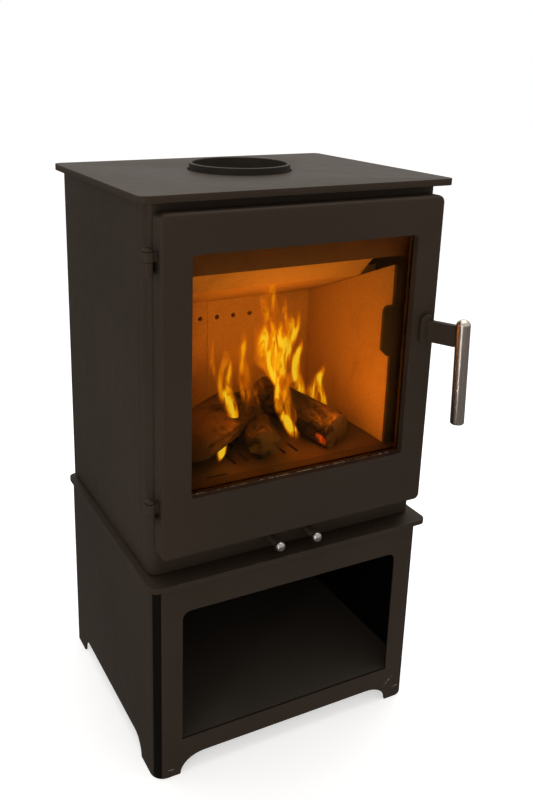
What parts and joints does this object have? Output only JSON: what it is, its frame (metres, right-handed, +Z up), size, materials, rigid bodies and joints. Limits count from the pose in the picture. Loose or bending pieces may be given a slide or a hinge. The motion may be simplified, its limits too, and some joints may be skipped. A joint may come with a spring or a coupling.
{
  "type": "wood burning stove",
  "caption": "Free-standing steel wood burning stove with a glazed side-hung door, flue collar, air controls and a log-store stand",
  "frame": {"origin": "on the floor, under the middle of the whole stove's bounding box, handle included", "axes": "+Z up, the door faces -Y, the handle is at +X"},
  "size_m": [0.4717, 0.434, 0.8598],
  "materials": {
    "stove_paint": "matt heat-proof black-brown stove paint",
    "inner_steel": "dull, heat-stained steel",
    "cast_iron": "matt, as cast",
    "vermiculite": "pressed vermiculite board, unglazed",
    "stainless": "brushed along its length",
    "zinc_steel": "zinc plated",
    "glass": "clear ceramic glass with an amber tint",
    "rope_seal": "knitted glass-fibre rope"
  },
  "bodies": {
    "root": {"airwash_plate": "inner_steel", "ash_pan": "inner_steel", "ash_pan_end_left": "inner_steel", "ash_pan_end_right": "inner_steel", "back_board_left": "vermiculite", "back_board_right": "vermiculite", "back_panel": "stove_paint", "baffle_board": "vermiculite", "base_plate": "inner_steel", "board_retainer_left": "inner_steel", "board_retainer_right": "inner_steel", "firebox_floor": "inner_steel", "firebox_top": "inner_steel", "firebox_walls": "inner_steel", "flue_collar": "cast_iron", "frame_knuckle_lower": "stove_paint", "frame_knuckle_upper": "stove_paint", "front_frame": "stove_paint", "front_sill": "inner_steel", "hearth_grate": "cast_iron", "hinge_pin_lower": "stove_paint", "hinge_pin_upper": "stove_paint", "latch_keeper": "inner_steel", "rear_air_duct": "inner_steel", "side_board_left": "vermiculite", "side_board_right": "vermiculite", "side_panel_left": "stove_paint", "side_panel_right": "stove_paint", "stand_back_panel": "stove_paint", "stand_bolt_1": "zinc_steel", "stand_bolt_2": "zinc_steel", "stand_bolt_3": "zinc_steel", "stand_bolt_4": "zinc_steel", "stand_shelf": "stove_paint", "stand_shell": "stove_paint", "stand_top_plate": "stove_paint", "throat_plate": "vermiculite", "top_plate": "stove_paint"},
    "door": {"door_panel": "stove_paint", "door_glass": "glass", "glass_seal": "rope_seal", "glass_clip_bottom": "inner_steel", "glass_clip_left": "inner_steel", "glass_clip_right": "inner_steel", "glass_clip_top": "inner_steel", "door_seal": "rope_seal", "door_knuckle_lower": "stove_paint", "door_knuckle_upper": "stove_paint", "spindle_bush": "inner_steel"},
    "handle": {"handle_hub": "stove_paint", "handle_arm": "stove_paint", "handle_grip": "stainless", "handle_spindle": "zinc_steel", "latch_cam": "inner_steel"},
    "air_left": {"air_knob_left": "stainless", "air_rod_left": "inner_steel", "air_slide_left": "inner_steel"},
    "air_right": {"air_knob_right": "stainless", "air_rod_right": "inner_steel", "air_slide_right": "inner_steel"}
  },
  "joints": [
    {"name": "door_hinge", "type": "hinge", "parent": "root", "child": "door", "pos_m": [-0.225, -0.145, 0.6], "axis": [0, 0, -1], "range_deg": [0, 110]},
    {"name": "handle_turn", "type": "hinge", "parent": "door", "child": "handle", "pos_m": [0.194, -0.1572, 0.642], "axis": [0, -1, 0], "range_deg": [0, 60]},
    {"name": "air_pull_left", "type": "slide", "parent": "root", "child": "air_left", "axis": [0, -1, 0], "range_m": [0, 0.025]},
    {"name": "air_pull_right", "type": "slide", "parent": "root", "child": "air_right", "axis": [0, -1, 0], "range_m": [0, 0.025]}
  ]
}
